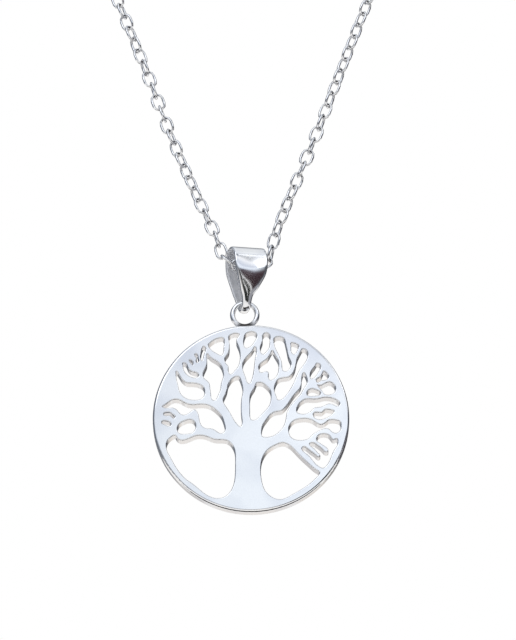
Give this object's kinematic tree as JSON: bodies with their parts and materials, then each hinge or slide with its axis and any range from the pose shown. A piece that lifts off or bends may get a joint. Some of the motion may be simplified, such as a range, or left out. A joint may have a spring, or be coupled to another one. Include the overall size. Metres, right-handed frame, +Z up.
{
  "type": "tree of life pendant necklace",
  "caption": "Pierced round pendant with a soldered top ring, hung by a folded leaf bail on a cable chain that closes with a spring ring clasp.",
  "frame": {"origin": "the nape of the neck, where the closed clasp lies, at the top of the hanging loop", "axes": "+Z up, -Y the front that the pendant's face looks to, +X the wearer's left, at the right of a front view"},
  "size_m": [0.0924, 0.0865, 0.1638],
  "materials": {
    "pendant_silver": "polished sterling silver",
    "bail_silver": "bright polished sterling silver",
    "chain_silver": "polished sterling silver",
    "clasp_silver": "polished sterling silver"
  },
  "bodies": {
    "necklace": {"chain_right": "chain_silver", "chain_left": "chain_silver", "clasp": "clasp_silver", "end_ring": "clasp_silver"},
    "bail": {"bail": "bail_silver"},
    "pendant": {"pendant": "pendant_silver"}
  },
  "joints": [
    {"name": "bail_swing", "type": "hinge", "parent": "necklace", "child": "bail", "pos_m": [0, -0.082, -0.127], "axis": [0.9379, 0.3414, 0.061], "range_deg": [-45, 45]},
    {"name": "pendant_swing", "type": "hinge", "parent": "bail", "child": "pendant", "pos_m": [-0.0003, -0.08211, -0.13268], "axis": [0.9379, 0.3414, 0.061], "range_deg": [-60, 60]}
  ]
}
